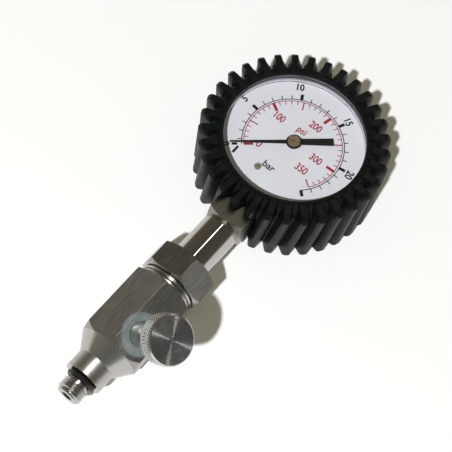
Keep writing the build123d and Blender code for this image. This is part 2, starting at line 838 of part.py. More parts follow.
# Socket: square connection, neck through the case, inner block and threaded shank
passage_left = tube_centre_r * cos(radians(tube_root)) - passage_overlap
passage_right = socket_bore_r - passage_overlap
with BuildPart() as socket:
    with BuildSketch(stem_section(square_start)):
        Rectangle(2 * square_half, 2 * square_half)
    extrude(amount=square_end - square_start)
    with BuildSketch(stem_plane):
        with BuildLine():
            Polyline(
                (square_start, 0),
                (square_start, square_bevel_r),
                (square_bevel_start, square_bevel_r),
                (square_end, collar_r),
                (square_end, 0),
                close=True,
            )
        make_face()
    revolve(axis=stem_axis, mode=Mode.INTERSECT)
    with BuildSketch(stem_plane):
        with BuildLine():
            Polyline(
                (block_back - merge, 0),
                (block_back - merge, neck_r),
                (square_start + merge, neck_r),
                (square_start + merge, collar_r - merge),
                (square_end - merge, collar_r - merge),
                (square_end - merge, collar_r),
                (socket_collar_end, collar_r),
                (socket_collar_end, shank_r),
                (shank_end, shank_r),
                (shank_end, 0),
                close=True,
            )
        make_face()
    revolve(axis=stem_axis)
    with BuildSketch(Plane.XY.offset(block_low)):
        with Locations((0, -(block_back + pad_front) / 2)):
            Rectangle(2 * block_half, block_back - pad_front)
    extrude(amount=rear_plate_low - block_low)
    with BuildSketch(Plane.XY.offset(block_low)):
        with Locations((0, -(block_back + block_front) / 2)):
            Rectangle(2 * block_half, block_back - block_front)
    extrude(amount=block_top - block_low)
    with BuildSketch(Plane.XY.offset(block_low)):
        with Locations((dial_post_x, dial_post_y)):
            Circle(dial_post_r)
    extrude(amount=dial_top - dial_t - block_low)
    with BuildSketch(root_plane):
        Polygon(*flat_oval(tube_width + 2 * fit_gap, tube_height + 2 * fit_gap, tube_corner), align=None)
    revolve(axis=Axis.Z, revolution_arc=-tube_seat_arc, mode=Mode.SUBTRACT)
    with BuildSketch(stem_plane):
        with BuildLine():
            Polyline(
                (socket_bore_in, 0),
                (socket_bore_in, socket_bore_r),
                (shank_end, socket_bore_r),
                (shank_end, 0),
                close=True,
            )
        make_face()
    revolve(axis=stem_axis, mode=Mode.SUBTRACT)
    with BuildSketch(Plane.XY.offset(tube_mid_z - passage_drop)):
        with Locations(((passage_left + passage_right) / 2, -tube_centre_r - passage_in)):
            Rectangle(passage_right - passage_left, tube_width - 2 * tube_wall)
    extrude(amount=stem_z + socket_bore_r / 2 - tube_mid_z + passage_drop, mode=Mode.SUBTRACT)
    with BuildSketch(Plane.XY.offset(dial_top)):
        with Locations((dial_post_x, dial_post_y)):
            Circle(screw_shank_r)
    extrude(amount=-(dial_screw_depth + screw_hole_room), mode=Mode.SUBTRACT)
    with BuildSketch(Plane.XY.offset(rear_plate_low)):
        with Locations(*pad_spots):
            Circle(screw_shank_r)
    extrude(amount=-(pad_screw_depth + screw_hole_room), mode=Mode.SUBTRACT)
socket.part.label = "socket"
export_step(socket.part, "parts/socket.step")

# Adaptor stem
with BuildPart() as socket_seal:
    with BuildSketch(stem_section(shank_end)):
        Circle(shank_r)
        Circle(seal_inner_r, mode=Mode.SUBTRACT)
    extrude(amount=seal_t)
socket_seal.part.label = "socket_seal"
export_step(socket_seal.part, "parts/socket_seal.step")

with BuildPart() as stem_tube:
    with BuildSketch(stem_plane):
        with BuildLine():
            Polyline(
                (socket_collar_end, shank_r + fit_gap),
                (socket_collar_end, collar_r),
                (flange_start, collar_r),
                (flange_start, flange_r),
                (tube_end_s, flange_r),
                (tube_end_s, bore_r),
                (shank_end + seal_t, bore_r),
                (shank_end + seal_t, shank_r + fit_gap),
                close=True,
            )
        make_face()
    revolve(axis=stem_axis)
stem_tube.part.label = "stem_tube"
export_step(stem_tube.part, "parts/stem_tube.step")

with BuildPart() as union_nut:
    with BuildSketch(stem_section(nut_start)):
        Polygon(*hexagon_points(nut_corner), align=None)
    extrude(amount=nut_end - nut_start)
    with BuildSketch(stem_plane):
        with BuildLine():
            Polyline(
                (nut_start, collar_r + nut_room),
                (nut_start, hex_chamfer_r),
                (nut_start + hex_chamfer_long, hex_reach + turning_room),
                (nut_end - hex_chamfer_long, hex_reach + turning_room),
                (nut_end, hex_chamfer_r),
                (nut_end, spigot_r + nut_room),
                (nut_shoulder_s, spigot_r + nut_room),
                (nut_shoulder_s, collar_r + nut_room),
                close=True,
            )
        make_face()
    revolve(axis=stem_axis, mode=Mode.INTERSECT)
union_nut.part.label = "union_nut"
export_step(union_nut.part, "parts/union_nut.step")

with BuildPart() as seat_seal:
    with BuildSketch(stem_section(tube_end_s)):
        Circle(flange_r - 2 * fit_gap)
        Circle(seat_seal_inner_r, mode=Mode.SUBTRACT)
    extrude(amount=seat_seal_t)
seat_seal.part.label = "seat_seal"
export_step(seat_seal.part, "parts/seat_seal.step")

body_start = tube_end_s + seat_seal_t
cone_slope = (cone_r - cone_end_r) / (cone_end - body_hex_end)
hex_meet = body_hex_end - (hex_reach + turning_room - cone_r) / cone_slope
with BuildPart() as valve_body:
    with BuildSketch(stem_section(body_hex_start)):
        Polygon(*hexagon_points(body_corner), align=None)
    extrude(amount=body_hex_end - body_hex_start)
    with BuildSketch(stem_plane):
        with BuildLine():
            Polyline(
                (body_hex_start, 0),
                (body_hex_start, hex_chamfer_r),
                (body_hex_start + hex_chamfer_long, hex_reach + turning_room),
                (hex_meet, hex_reach + turning_room),
                (body_hex_end, cone_r),
                (body_hex_end, 0),
                close=True,
            )
        make_face()
    revolve(axis=stem_axis, mode=Mode.INTERSECT)
    with BuildSketch(stem_plane):
        with BuildLine():
            Polyline(
                (body_start, 0),
                (body_start, spigot_r),
                (neck_ring_start, spigot_r),
                (neck_ring_start, neck_ring_r),
                (neck_ring_start + neck_ring_w, neck_ring_r),
                (neck_ring_start + neck_ring_w, neck_groove_r),
                (body_hex_start - neck_ring_w, neck_groove_r),
                (body_hex_start - neck_ring_w, neck_ring_r),
                (body_hex_start + merge, neck_ring_r),
                (body_hex_start + merge, 0),
                close=True,
            )
        make_face()
    revolve(axis=stem_axis)
    with BuildSketch(stem_plane):
        with BuildLine():
            Polyline(
                (body_hex_end - merge, 0),
                (body_hex_end - merge, cone_r - merge),
                (body_hex_end, cone_r - merge),
                (body_hex_end, cone_r),
                (cone_end, cone_end_r),
                (cone_end, collar_r),
                (body_collar_end, collar_r),
                (body_collar_end, o_groove_r),
                (o_groove_end, o_groove_r),
                (o_groove_end, thread_r),
                (thread_end - thread_chamfer, thread_r),
                (thread_end, thread_r - thread_chamfer),
                (thread_end, 0),
                close=True,
            )
        make_face()
    revolve(axis=stem_axis)
    with BuildSketch(stem_plane):
        with BuildLine():
            Polyline((body_start, 0), (body_start, bore_r), (thread_end, bore_r), (thread_end, 0), close=True)
        make_face()
    revolve(axis=stem_axis, mode=Mode.SUBTRACT)
    with BuildSketch(bleed_plane):
        with BuildLine():
            Polyline(
                (0, 0),
                (0, seat_r),
                (bonnet_in - seat_cone, seat_r),
                (bonnet_in - seat_cone_end, spindle_r + seat_room),
                (bonnet_in, spindle_r + seat_room),
                (bonnet_in, bonnet_r + fit_gap),
                (hex_reach + cut_past, bonnet_r + fit_gap),
                (hex_reach + cut_past, 0),
                close=True,
            )
        make_face()
    revolve(axis=bleed_axis, mode=Mode.SUBTRACT)
valve_body.part.label = "valve_body"
export_step(valve_body.part, "parts/valve_body.step")

with BuildPart() as port_o_ring:
    with BuildSketch(stem_plane):
        with Locations((body_collar_end + o_ring_section_r + fit_gap, o_groove_r + o_ring_section_r)):
            RegularPolygon(o_ring_section_r, o_ring_sides)
    revolve(axis=stem_axis)
port_o_ring.part.label = "port_o_ring"
export_step(port_o_ring.part, "parts/port_o_ring.step")

# Bleed valve: bonnet, spindle, seal and knurled knob
with BuildPart() as bleed_bonnet:
    with BuildSketch(bleed_plane):
        with BuildLine():
            Polyline(
                (bonnet_in, spindle_r + bearing_gap),
                (bonnet_in, bonnet_r),
                (bonnet_out - bonnet_chamfer, bonnet_r),
                (bonnet_out, bonnet_r - bonnet_chamfer),
                (bonnet_out, spindle_r + bearing_gap),
                close=True,
            )
        make_face()
    revolve(axis=bleed_axis)
bleed_bonnet.part.label = "bleed_bonnet"
export_step(bleed_bonnet.part, "parts/bleed_bonnet.step")

ring_half = bleed_ring_section_r + 2 * fit_gap
with BuildPart() as bleed_screw:
    with BuildSketch(bleed_plane):
        with BuildLine():
            Polyline(
                (needle_end, 0),
                (needle_end, needle_r),
                (bonnet_in - seat_cone, needle_r),
                (bonnet_in - seat_cone_end + seat_room, spindle_r),
                (bleed_ring_at - ring_half, spindle_r),
                (bleed_ring_at - ring_half, spindle_r - 2 * bleed_ring_section_r + bearing_gap),
                (bleed_ring_at + ring_half, spindle_r - 2 * bleed_ring_section_r + bearing_gap),
                (bleed_ring_at + ring_half, spindle_r),
                (spindle_out, spindle_r),
                (spindle_out, 0),
                close=True,
            )
        make_face()
    revolve(axis=bleed_axis)
bleed_screw.part.label = "bleed_screw"
export_step(bleed_screw.part, "parts/bleed_screw.step")

with BuildPart() as bleed_o_ring:
    with BuildSketch(bleed_plane):
        with Locations((bleed_ring_at, spindle_r + bearing_gap - bleed_ring_section_r)):
            RegularPolygon(bleed_ring_section_r, o_ring_sides)
    revolve(axis=bleed_axis)
bleed_o_ring.part.label = "bleed_o_ring"
export_step(bleed_o_ring.part, "parts/bleed_o_ring.step")

with BuildPart() as bleed_knob:
    with BuildSketch(bleed_plane):
        with BuildLine():
            Polyline(
                (knob_low, spindle_r + bearing_gap),
                (knob_low, knob_r - knob_chamfer),
                (knob_low + knob_chamfer, knob_r),
                (knob_high - knob_chamfer, knob_r),
                (knob_high, knob_r - knob_chamfer),
                (knob_high, 0),
                (spindle_out + fit_gap, 0),
                (spindle_out + fit_gap, spindle_r + bearing_gap),
                close=True,
            )
        make_face()
    revolve(axis=bleed_axis)
bleed_knob.part.label = "bleed_knob"
export_step(bleed_knob.part, "parts/bleed_knob.step")
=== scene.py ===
import bmesh
import bpy
import math
from mathutils import Matrix, Vector


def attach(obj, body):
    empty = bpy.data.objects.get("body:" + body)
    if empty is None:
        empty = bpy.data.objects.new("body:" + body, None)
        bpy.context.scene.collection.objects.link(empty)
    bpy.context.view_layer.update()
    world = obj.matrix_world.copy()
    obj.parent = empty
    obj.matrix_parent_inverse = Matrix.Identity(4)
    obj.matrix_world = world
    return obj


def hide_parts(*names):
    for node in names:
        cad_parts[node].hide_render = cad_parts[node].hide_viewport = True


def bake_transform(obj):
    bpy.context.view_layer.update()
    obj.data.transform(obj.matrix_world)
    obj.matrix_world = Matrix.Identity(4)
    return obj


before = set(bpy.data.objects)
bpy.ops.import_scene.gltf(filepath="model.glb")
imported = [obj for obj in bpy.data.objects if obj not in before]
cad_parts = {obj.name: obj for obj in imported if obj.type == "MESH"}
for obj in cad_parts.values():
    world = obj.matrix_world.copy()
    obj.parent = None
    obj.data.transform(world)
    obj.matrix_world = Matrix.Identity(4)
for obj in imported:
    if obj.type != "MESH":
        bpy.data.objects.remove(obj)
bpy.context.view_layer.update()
MM = 0.001

# The solid model's places and sizes, in millimetres
STEM_Z = 14.2
DIAL_TOP = 21.3
SPACER_HEIGHT = 2.7
BLEED_AT = 90.8
BLEED_LEAN = math.radians(36.0)
THREAD_R = 4.7625
THREAD_START = 114.9
THREAD_END = 120.2
THREAD_CHAMFER = 0.9
KNOB_R = 8.75
KNOB_LOW = 25.1
KNOB_HIGH = 31.6

# Where finishes change, down the stem towards -Y, and sizes of the seat, the thread and the knob's bore
NUT_FLATS = (58.5, 68.4)
BODY_FLATS = (72.0, 99.9)
COLLAR = (105.7, 112.3)
SEAT_R = 7.8
SEAT_SOFT_EDGE = 0.8
SEAT_LOW = 9.0
THREAD_ROOT_R = 4.15
THREAD_PITCH = 1.058
KNOB_BORE_R = 2.25


# Shader nodes
def material(name):
    made = bpy.data.materials.new(name)
    made.use_nodes = True
    tree = made.node_tree
    return made, tree, tree.nodes["Principled BSDF"]


def add(tree, kind, **values):
    node = tree.nodes.new(kind)
    for key, value in values.items():
        setattr(node, key, value)
    return node


def feed(tree, value, socket):
    """Links another node's output to this input, or writes a plain value on it."""
    if isinstance(value, bpy.types.NodeSocket):
        tree.links.new(value, socket)
    else:
        socket.default_value = value


def math_node(tree, operation, first, second):
    node = add(tree, "ShaderNodeMath", operation=operation)
    feed(tree, first, node.inputs[0])
    feed(tree, second, node.inputs[1])
    return node.outputs[0]


def vector_node(tree, operation, first, second=None):
    node = add(tree, "ShaderNodeVectorMath", operation=operation)
    feed(tree, first, node.inputs[0])
    if second is not None:
        feed(tree, second, node.inputs[1])
    return node.outputs["Value" if operation in ("LENGTH", "DOT_PRODUCT") else "Vector"]


def between(tree, value, limits):
    """1 between the two limits and 0 outside them."""
    low, high = limits
    return math_node(tree, "MULTIPLY", math_node(tree, "GREATER_THAN", value, low),
                     math_node(tree, "LESS_THAN", value, high))


def coordinates(tree, kind="Object"):
    """Texture coordinate, whole and split into its axes."""
    place = add(tree, "ShaderNodeTexCoord").outputs[kind]
    split = add(tree, "ShaderNodeSeparateXYZ")
    tree.links.new(place, split.inputs[0])
    return place, split.outputs


def noise(tree, scale, detail=3.0, stretch=(1, 1, 1)):
    place = add(tree, "ShaderNodeTexCoord")
    mapping = add(tree, "ShaderNodeMapping")
    mapping.inputs["Scale"].default_value = stretch
    tree.links.new(place.outputs["Object"], mapping.inputs["Vector"])
    made = add(tree, "ShaderNodeTexNoise")
    made.inputs["Scale"].default_value = scale
    made.inputs["Detail"].default_value = detail
    tree.links.new(mapping.outputs["Vector"], made.inputs["Vector"])
    return made.outputs["Fac"]


def tones(tree, source, first, last, middle=()):
    """Colour ramp from its first to its last stop, each a position and a colour."""
    node = add(tree, "ShaderNodeValToRGB")
    elements = node.color_ramp.elements
    for element, (position, colour) in ((elements[0], first), (elements[1], last)):
        element.position = position
        element.color = (*colour, 1)
    for position, colour in middle:
        elements.new(position).color = (*colour, 1)
    tree.links.new(source, node.inputs["Fac"])
    return node.outputs["Color"]


def ramp(tree, source, low, high, at=(0.3, 0.7)):
    return tones(tree, source, (at[0], low), (at[1], high))


def spread(tree, source, low, high, at=(0.25, 0.75)):
    node = add(tree, "ShaderNodeMapRange")
    node.inputs["From Min"].default_value = at[0]
    node.inputs["From Max"].default_value = at[1]
    node.inputs["To Min"].default_value = low
    node.inputs["To Max"].default_value = high
    tree.links.new(source, node.inputs["Value"])
    return node.outputs["Result"]


def mixed(tree, factor, first, second, kind="RGBA", **values):
    node = add(tree, "ShaderNodeMix", data_type=kind, **values)
    feed(tree, factor, node.inputs["Factor"])
    feed(tree, first, node.inputs["A"])
    feed(tree, second, node.inputs["B"])
    return node.outputs["Result"]


def mixed_shader(tree, factor, first, second):
    node = add(tree, "ShaderNodeMixShader")
    tree.links.new(factor, node.inputs["Fac"])
    tree.links.new(first, node.inputs[1])
    tree.links.new(second, node.inputs[2])
    return node.outputs["Shader"]


def grain(tree, shader, height, depth_mm, edge_mm=0.0):
    """Fine relief on a surface, and rounded edges where a radius is given."""
    bump = add(tree, "ShaderNodeBump")
    bump.inputs["Distance"].default_value = depth_mm * MM
    tree.links.new(height, bump.inputs["Height"])
    if edge_mm:
        bevel = add(tree, "ShaderNodeBevel", samples=6)
        bevel.inputs["Radius"].default_value = edge_mm * MM
        tree.links.new(bevel.outputs["Normal"], bump.inputs["Normal"])
    tree.links.new(bump.outputs["Normal"], shader.inputs["Normal"])


# Materials
def surface(name, low, high, rough, metallic=0.0, colour_scale=400, stretch=(1, 1, 1), bump_scale=2500,
            bump_mm=0.01, edge_mm=0.0, specular=0.5):
    made, tree, shader = material(name)
    tree.links.new(ramp(tree, noise(tree, colour_scale, 4, stretch), low, high), shader.inputs["Base Color"])
    rough_source = noise(tree, colour_scale * 1.7, 3, stretch)
    tree.links.new(spread(tree, rough_source, rough[0], rough[1]), shader.inputs["Roughness"])
    shader.inputs["Metallic"].default_value = metallic
    shader.inputs["Specular IOR Level"].default_value = specular
    grain(tree, shader, noise(tree, bump_scale, 2, stretch), bump_mm, edge_mm)
    return made


def spacer_wall():
    """Silvered ring between dial and window: dark at the dial (painted shade), a bright painted highlight
    band above it, grey at the window.
    """
    made, tree, shader = material("ring_silver")
    axes = coordinates(tree)[1]
    height = spread(tree, axes["Z"], 0.0, 1.0, (DIAL_TOP * MM, (DIAL_TOP + SPACER_HEIGHT) * MM))
    blotches = math_node(tree, "SUBTRACT", noise(tree, 400, 4, (1, 1, 10)), 0.5)
    height_for_painted_light = math_node(tree, "ADD", height, math_node(tree, "MULTIPLY", blotches, 0.12))
    # Tones by height on the wall: painted shade at its foot by the dial, a painted highlight band a little
    # above, darker again towards the window
    levels = ((0.12, 0.08), (0.24, 0.88), (0.45, 0.80), (0.6, 0.38), (0.85, 0.25))
    colour = tones(tree, height_for_painted_light, (0.0, (0.05, 0.05, 0.055)), (1.0, (0.10, 0.10, 0.12)),
                   [(at, (level, level, level * 1.03)) for at, level in levels])
    tree.links.new(colour, shader.inputs["Base Color"])
    tree.links.new(spread(tree, noise(tree, 600, 3, (1, 1, 10)), 0.3, 0.42), shader.inputs["Roughness"])
    shader.inputs["Metallic"].default_value = 0.3
    return made


def seat_mask(tree, place, axes):
    """1 on the milled seat round the bleed valve, on the flat it stands on, and 0 elsewhere."""
    from_stem = vector_node(tree, "SUBTRACT", place, (0, -BLEED_AT * MM, STEM_Z * MM))
    bleed_way = (math.sin(BLEED_LEAN), 0, math.cos(BLEED_LEAN))
    off_axis = vector_node(tree, "LENGTH", vector_node(tree, "CROSS_PRODUCT", from_stem, bleed_way))
    near_axis = spread(tree, off_axis, 1.0, 0.0, ((SEAT_R - SEAT_SOFT_EDGE) * MM, SEAT_R * MM))
    out_along = vector_node(tree, "DOT_PRODUCT", from_stem, bleed_way)
    above = math_node(tree, "GREATER_THAN", out_along, SEAT_LOW * MM)
    this_flat = math_node(tree, "GREATER_THAN", axes["X"], 0.0)
    return math_node(tree, "MULTIPLY", math_node(tree, "MULTIPLY", near_axis, above), this_flat)


def stem_machined():
    """Drawn bar: fine lines on the flats, smooth where it was turned, pale at the bleed valve's seat."""
    made, tree, shader = material("machined_nickel")
    place, axes = coordinates(tree)
    along = math_node(tree, "MULTIPLY", axes["Y"], -1 / MM)
    on_flats = math_node(tree, "MAXIMUM", between(tree, along, BODY_FLATS), between(tree, along, NUT_FLATS))
    on_collar = between(tree, along, COLLAR)
    on_seat = seat_mask(tree, place, axes)
    streaks = noise(tree, 3600, 4, (1, 0.045, 1))
    drawn = ramp(tree, streaks, (0.32, 0.30, 0.285), (0.58, 0.56, 0.545), (0.32, 0.68))
    milled = ramp(tree, noise(tree, 900, 3), (0.34, 0.39, 0.39), (0.46, 0.52, 0.52))
    bar = mixed(tree, on_flats, (0.58, 0.56, 0.53, 1), drawn)
    tree.links.new(mixed(tree, on_seat, bar, milled), shader.inputs["Base Color"])
    rough_turned = spread(tree, on_collar, 0.25, 0.37, (0.0, 1.0))
    rough = mixed(tree, on_flats, rough_turned, spread(tree, streaks, 0.28, 0.46), kind="FLOAT")
    tree.links.new(rough, shader.inputs["Roughness"])
    tree.links.new(spread(tree, on_seat, 1.0, 0.6, (0.0, 1.0)), shader.inputs["Metallic"])
    grained = math_node(tree, "MAXIMUM", on_flats, on_collar)
    grain(tree, shader, math_node(tree, "MULTIPLY", streaks, grained), 0.01, 0.2)
    return made


def window_glass():
    """Clear window: a mirror, weak seen head on and strong at a grazing view, faintly tinted by noise."""
    head_on, grazing_gain, grazing_power = 0.025, 0.9, 5.0
    made, tree, shader = material("window_clear")
    tree.nodes.remove(shader)
    clear = add(tree, "ShaderNodeBsdfTransparent")
    tint = ramp(tree, noise(tree, 60), (0.975, 0.975, 0.98), (0.99, 0.99, 0.995))
    tree.links.new(tint, clear.inputs["Color"])
    shine = add(tree, "ShaderNodeBsdfGlossy")
    shine.inputs["Roughness"].default_value = 0.03
    grain(tree, shine, noise(tree, 90, 1), 0.002)
    edge = add(tree, "ShaderNodeLayerWeight")
    edge.inputs["Blend"].default_value = 0.5
    grazing = math_node(tree, "POWER", edge.outputs["Facing"], grazing_power)
    share = math_node(tree, "ADD", math_node(tree, "MULTIPLY", grazing, grazing_gain), head_on)
    glass = mixed_shader(tree, share, clear.outputs["BSDF"], shine.outputs["BSDF"])
    tree.links.new(glass, tree.nodes["Material Output"].inputs["Surface"])
    return made


def faced_disc():
    """Knob turned on a lathe: fine rings round its axis and a highlight drawn out across them."""
    made, tree, shader = material("faced_steel")
    axes = coordinates(tree)[1]
    flat = add(tree, "ShaderNodeCombineXYZ")
    tree.links.new(axes["X"], flat.inputs["X"])
    tree.links.new(axes["Y"], flat.inputs["Y"])
    noise_line = add(tree, "ShaderNodeTexNoise", noise_dimensions="1D")
    noise_line.inputs["Scale"].default_value = 5200
    noise_line.inputs["Detail"].default_value = 3
    tree.links.new(vector_node(tree, "LENGTH", flat.outputs["Vector"]), noise_line.inputs["W"])
    rings = noise_line.outputs["Fac"]
    tree.links.new(ramp(tree, rings, (0.36, 0.35, 0.37), (0.52, 0.51, 0.53)), shader.inputs["Base Color"])
    tree.links.new(spread(tree, rings, 0.26, 0.34), shader.inputs["Roughness"])
    shader.inputs["Metallic"].default_value = 1.0
    shader.inputs["Anisotropic"].default_value = 1.0
    shader.inputs["Anisotropic Rotation"].default_value = 0.25
    tangent = add(tree, "ShaderNodeTangent", direction_type="RADIAL", axis="Z")
    tree.links.new(tangent.outputs["Tangent"], shader.inputs["Tangent"])
    grain(tree, shader, rings, 0.004)
    return made


rubber = surface("moulded_rubber", (0.0025, 0.0035, 0.0035), (0.006, 0.0075, 0.0075), (0.36, 0.5),
                 colour_scale=260, bump_scale=2200, bump_mm=0.03, edge_mm=0.45, specular=0.3)
seal_rubber = surface("seal_rubber", (0.008, 0.008, 0.008), (0.016, 0.016, 0.016), (0.25, 0.4),
                      bump_scale=3000)
case_steel = surface("case_steel", (0.55, 0.55, 0.56), (0.66, 0.66, 0.67), (0.28, 0.4), 1.0,
                     stretch=(1, 1, 8), bump_mm=0.004, edge_mm=0.1)
enamel = surface("dial_enamel", (0.85, 0.86, 0.89), (0.87, 0.88, 0.91), (0.35, 0.45), colour_scale=120,
                 bump_scale=1500, bump_mm=0.002)
print_black = surface("print_black", (0.004, 0.004, 0.005), (0.010, 0.010, 0.011), (0.4, 0.5), bump_mm=0.002)
print_red = surface("print_red", (0.40, 0.012, 0.045), (0.48, 0.02, 0.06), (0.4, 0.5), bump_mm=0.002)
pointer_black = surface("pointer_black", (0.005, 0.005, 0.006), (0.010, 0.010, 0.011), (0.3, 0.42),
                        bump_mm=0.002, edge_mm=0.05)
brass = surface("brass", (0.44, 0.36, 0.20), (0.58, 0.48, 0.28), (0.42, 0.55), 0.8,
                bump_mm=0.004, edge_mm=0.08)
plated_screw = surface("plated_screw", (0.34, 0.32, 0.21), (0.52, 0.49, 0.34), (0.35, 0.5), 0.6,
                       colour_scale=900, bump_mm=0.004, edge_mm=0.08)
bronze = surface("spring_bronze", (0.52, 0.33, 0.18), (0.62, 0.42, 0.24), (0.25, 0.4), 1.0, bump_mm=0.004)
fine_steel = surface("fine_steel", (0.48, 0.48, 0.49), (0.6, 0.6, 0.61), (0.2, 0.34), 1.0,
                     bump_mm=0.003, edge_mm=0.05)
socket_metal = surface("socket_metal", (0.30, 0.285, 0.25), (0.40, 0.385, 0.34), (0.26, 0.36), 1.0,
                       colour_scale=1600, stretch=(1, 0.2, 1), bump_mm=0.006, edge_mm=0.2)
fibre = surface("seal_fibre", (0.20, 0.05, 0.03), (0.30, 0.08, 0.05), (0.6, 0.8), bump_mm=0.02)
polished = surface("polished_nickel", (0.56, 0.54, 0.51), (0.60, 0.58, 0.55), (0.04, 0.07), 1.0,
                   stretch=(1, 0.1, 1), bump_scale=1200, bump_mm=0.0015, edge_mm=0.12)
knurled_rim = surface("knurled_steel", (0.66, 0.67, 0.66), (0.80, 0.81, 0.80), (0.14, 0.24), 1.0,
                      bump_mm=0.002)
turned = surface("turned_steel", (0.40, 0.40, 0.41), (0.50, 0.50, 0.51), (0.2, 0.32), 1.0,
                 bump_mm=0.003, edge_mm=0.1)
machined = stem_machined()
ring_silver = spacer_wall()
clear_window = window_glass()
faced = faced_disc()

finishes = {
    "rubber_boot": rubber, "window_gasket": seal_rubber, "port_o_ring": seal_rubber,
    "bleed_o_ring": seal_rubber, "case": case_steel, "bezel_ring": case_steel,
    "dial_spacer_ring": ring_silver, "window": clear_window, "dial": enamel, "pointer": pointer_black,
    "dial_screw": plated_screw, "pointer_hub": brass, "movement_rear_plate": brass,
    "movement_front_plate": brass, "movement_pillars": brass, "sector_gear": brass,
    "hairspring_collet": brass, "tube_tip": brass, "socket": socket_metal, "bourdon_tube": bronze,
    "hairspring": bronze, "pinion_arbor": fine_steel, "sector_arbor": fine_steel,
    "sector_tail_pin": fine_steel, "tip_pin": fine_steel, "link": fine_steel,
    "movement_screws": fine_steel, "mounting_screws": fine_steel, "hairspring_stud": fine_steel,
    "socket_seal": fibre, "seat_seal": fibre, "stem_tube": polished, "union_nut": machined,
    "valve_body": machined, "bleed_bonnet": polished, "bleed_screw": turned, "bleed_knob": turned,
}
for node, finish in finishes.items():
    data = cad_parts[node].data
    data.materials.clear()
    data.materials.append(finish)


# Pieces made from points in millimetres
def mesh_object(name, vertices, faces, finish, body):
    data = bpy.data.meshes.new(name)
    data.from_pydata([(x * MM, y * MM, z * MM) for x, y, z in vertices], [], faces)
    data.update()
    data.materials.append(finish)
    made = bpy.data.objects.new(name, data)
    bpy.context.scene.collection.objects.link(made)
    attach(made, body)
    return made


def on_circle(r, angle):
    return r * math.cos(angle), r * math.sin(angle)


class Ink:
    """Flat printing on the dial, gathered into one mesh."""

    def __init__(self, height):
        self.height = height
        self.points = []
        self.faces = []

    def patch(self, corners):
        start = len(self.points)
        self.points += [(x, y, self.height) for x, y in corners]
        self.faces.append(tuple(range(start, start + len(corners))))

    def bar(self, a, b, width):
        ax, ay = a
        bx, by = b
        length = math.hypot(bx - ax, by - ay)
        nx, ny = -(by - ay) / length * width / 2, (bx - ax) / length * width / 2
        self.patch([(ax - nx, ay - ny), (bx - nx, by - ny), (bx + nx, by + ny), (ax + nx, ay + ny)])

    def tick(self, angle, inner, outer, width):
        angle = math.radians(angle)
        self.bar(on_circle(inner, angle), on_circle(outer, angle), width)

    def arc(self, r, width, start, end, steps=160):
        inner, outer = r - width / 2, r + width / 2
        for k in range(steps):
            a = math.radians(start + (end - start) * k / steps)
            b = math.radians(start + (end - start) * (k + 1) / steps)
            self.patch([on_circle(inner, a), on_circle(outer, a), on_circle(outer, b), on_circle(inner, b)])

    def text(self, words, x, y, size, turn=0.0, squeeze=1.0, thicken=0.0):
        curve = bpy.data.curves.new("lettering", "FONT")
        curve.body = words
        curve.size = size
        curve.align_x = "CENTER"
        curve.align_y = "CENTER"
        curve.offset = thicken
        holder = bpy.data.objects.new("lettering", curve)
        bpy.context.scene.collection.objects.link(holder)
        shape = bpy.data.meshes.new_from_object(holder)
        c, s = on_circle(1.0, math.radians(turn))
        start = len(self.points)
        for vertex in shape.vertices:
            u, v = vertex.co.x * squeeze, vertex.co.y
            self.points.append((x + u * c - v * s, y + u * s + v * c, self.height))
        for face in shape.polygons:
            self.faces.append(tuple(start + index for index in face.vertices))
        bpy.data.objects.remove(holder)
        bpy.data.curves.remove(curve)
        bpy.data.meshes.remove(shape)

    def make(self, name, finish):
        return mesh_object(name, self.points, self.faces, finish, "gauge")


# Dial print: lengths in millimetres, angles in degrees anticlockwise from +X
SCALE_SWEEP = 270.0
SCALE_ZERO = 225.0
PRINT_TURN = 1.2
ZERO_MARK = 221.25
TOP_BAR = 25
TOP_PSI = 350
PSI_PER_BAR = 14.5038
ARC_R = 18.5
RED_R = 17.75
BLACK_LIFT = 0.02
RED_LIFT = 0.03
BAR_LABEL_SIZE = 3.8
PSI_LABEL_SIZE = 4.1
PSI_TICKS = ((100, 3.3, 1.1), (50, 3.3, 0.46), (10, 1.5, 0.32))  # at every so many psi: length and width


def bar_angle(value):
    return SCALE_ZERO + PRINT_TURN - SCALE_SWEEP * value / TOP_BAR


def psi_angle(value):
    return bar_angle(value / PSI_PER_BAR)


black = Ink(DIAL_TOP + BLACK_LIFT)
black.arc(ARC_R, 0.33, ZERO_MARK, bar_angle(TOP_BAR))
for value in range(1, TOP_BAR + 1):
    if value % 5 == 0:
        black.tick(bar_angle(value), ARC_R - 0.1, ARC_R + 2.4, width=1.15)
    else:
        black.tick(bar_angle(value), ARC_R, ARC_R + 1.55, width=0.34)
black.tick(ZERO_MARK, ARC_R + 1.6, ARC_R + 3.6, width=1.0)
bar_labels = ((5, -24.55, 3.0), (10, -12.45, 20.15), (15, 9.4, 20.45), (20, 22.55, 3.42),
              (0, -18.09, -15.92))
for value, x, y in bar_labels:
    black.text(str(value), x, y, BAR_LABEL_SIZE, bar_angle(value) - 90, squeeze=0.88, thicken=0.11)
black.bar((-14.2, -13.8), (-14.2, -17.0), 0.9)
black.text("bar", -1.1, -12.9, 3.9, squeeze=0.92, thicken=0.07)
black.make("dial_print_black", print_black)

red = Ink(DIAL_TOP + RED_LIFT)
red.arc(RED_R, 0.3, ZERO_MARK, psi_angle(TOP_PSI))
for value in range(10, TOP_PSI + 1, 10):
    length, width = next(tick[1:] for tick in PSI_TICKS if value % tick[0] == 0)
    red.tick(psi_angle(value), RED_R - length, RED_R, width)
red.tick(ZERO_MARK, RED_R - 3.35, RED_R, width=1.0)
red.text("0", -9.2, -8.2, PSI_LABEL_SIZE, squeeze=0.9, thicken=0.08)
for value, x, y in ((100, -10.6, 5.3), (200, 1.8, 10.9), (300, 9.8, 0.4), (350, 8.25, -6.1)):
    red.text(str(value), x, y, PSI_LABEL_SIZE, squeeze=0.78, thicken=0.08)
red.text("psi", -0.85, 6.3, 3.8, squeeze=0.9, thicken=0.06)
red.make("dial_print_red", print_red)


